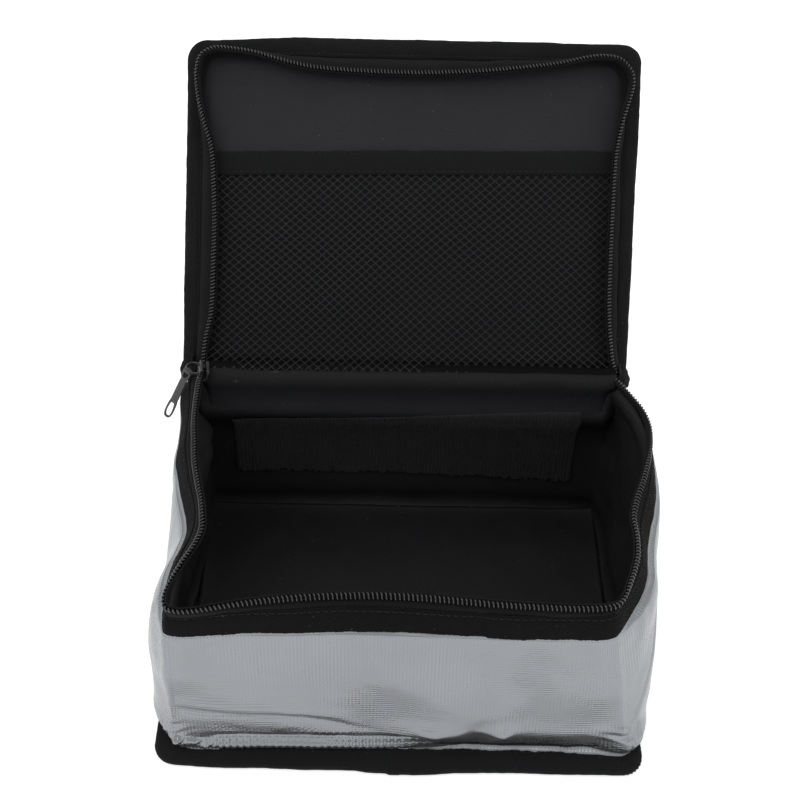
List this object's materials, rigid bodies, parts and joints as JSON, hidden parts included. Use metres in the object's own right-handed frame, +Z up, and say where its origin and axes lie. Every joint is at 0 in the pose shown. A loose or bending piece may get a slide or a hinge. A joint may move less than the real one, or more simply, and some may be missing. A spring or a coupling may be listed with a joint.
{
  "type": "lipo safe bag",
  "caption": "Soft padded rectangular storage bag in silver fire-resistant cloth with black bound edges, a zipped hinged lid, an inner mesh pocket and a webbing handle.",
  "frame": {"origin": "centre of the flat base, on the surface the bag stands on", "axes": "+Z up; front of the bag towards -Y; the fabric hinge and the open lid towards +Y; +X to the bag's right seen from the front"},
  "size_m": [0.2196, 0.2771, 0.2024],
  "materials": {
    "aluminised_cloth": "aluminised glass-fibre cloth, satin metallic with a fine square weave",
    "fibre_padding": "needled white fibre",
    "lining_cloth": "black coated cloth, dull",
    "binding_webbing": "black woven binding tape",
    "zipper_tape": "black woven zipper tape",
    "zipper_coil": "black nylon coil, slight sheen",
    "loop_pile": "black ribbed loop pile",
    "mesh_net": "black knitted net",
    "handle_webbing": "black webbing",
    "stiffener_board": "plain grey board",
    "slider_metal": "dark grey painted, semi-gloss",
    "pull_metal": "dark grey painted, semi-gloss"
  },
  "bodies": {
    "bag": {"base_outer_panel": "aluminised_cloth", "base_binding": "binding_webbing", "base_stiffener_board": "stiffener_board", "base_padding": "fibre_padding", "base_lining": "lining_cloth", "outer_wall_front": "aluminised_cloth", "outer_wall_back": "aluminised_cloth", "outer_wall_left": "aluminised_cloth", "outer_wall_right": "aluminised_cloth", "padding_front": "fibre_padding", "padding_back": "fibre_padding", "padding_left": "fibre_padding", "padding_right": "fibre_padding", "lining_front": "lining_cloth", "lining_back": "lining_cloth", "lining_left": "lining_cloth", "lining_right": "lining_cloth", "rim_binding": "binding_webbing", "rim_zipper_tape": "zipper_tape", "rim_zipper_coil": "zipper_coil", "back_loop_strip": "loop_pile", "front_loop_strip": "loop_pile", "binding_end_tab_left": "binding_webbing", "binding_end_tab_right": "binding_webbing"},
    "lid": {"lid_lining": "lining_cloth", "lid_padding": "fibre_padding", "lid_outer_panel": "aluminised_cloth", "lid_binding": "binding_webbing", "lid_zipper_tape": "zipper_tape", "lid_zipper_coil": "zipper_coil", "lid_hinge_gusset": "lining_cloth", "mesh_pocket": "mesh_net", "pocket_hem": "binding_webbing", "handle_anchor_left": "handle_webbing", "handle_anchor_right": "handle_webbing"},
    "handle": {"handle_strap": "handle_webbing"},
    "slider": {"slider_body": "slider_metal"},
    "pull": {"pull_tab": "pull_metal"}
  },
  "joints": [
    {"name": "lid_hinge", "type": "hinge", "parent": "bag", "child": "lid", "pos_m": [0, 0.0738, 0.099], "axis": [1, 0, 0], "range_deg": [-44, 134.2]},
    {"name": "handle_tilt", "type": "hinge", "parent": "lid", "child": "handle", "pos_m": [0, 0.13846, 0.14039], "axis": [1, 0, 0], "range_deg": [-30, 30]},
    {"name": "slider_travel", "type": "slide", "parent": "bag", "child": "slider", "axis": [0, -1, 0], "range_m": [0, 0.115]},
    {"name": "pull_swing", "type": "hinge", "parent": "slider", "child": "pull", "pos_m": [-0.1006, 0.063, 0.099], "axis": [0, 1, 0], "range_deg": [-12, 110]}
  ]
}
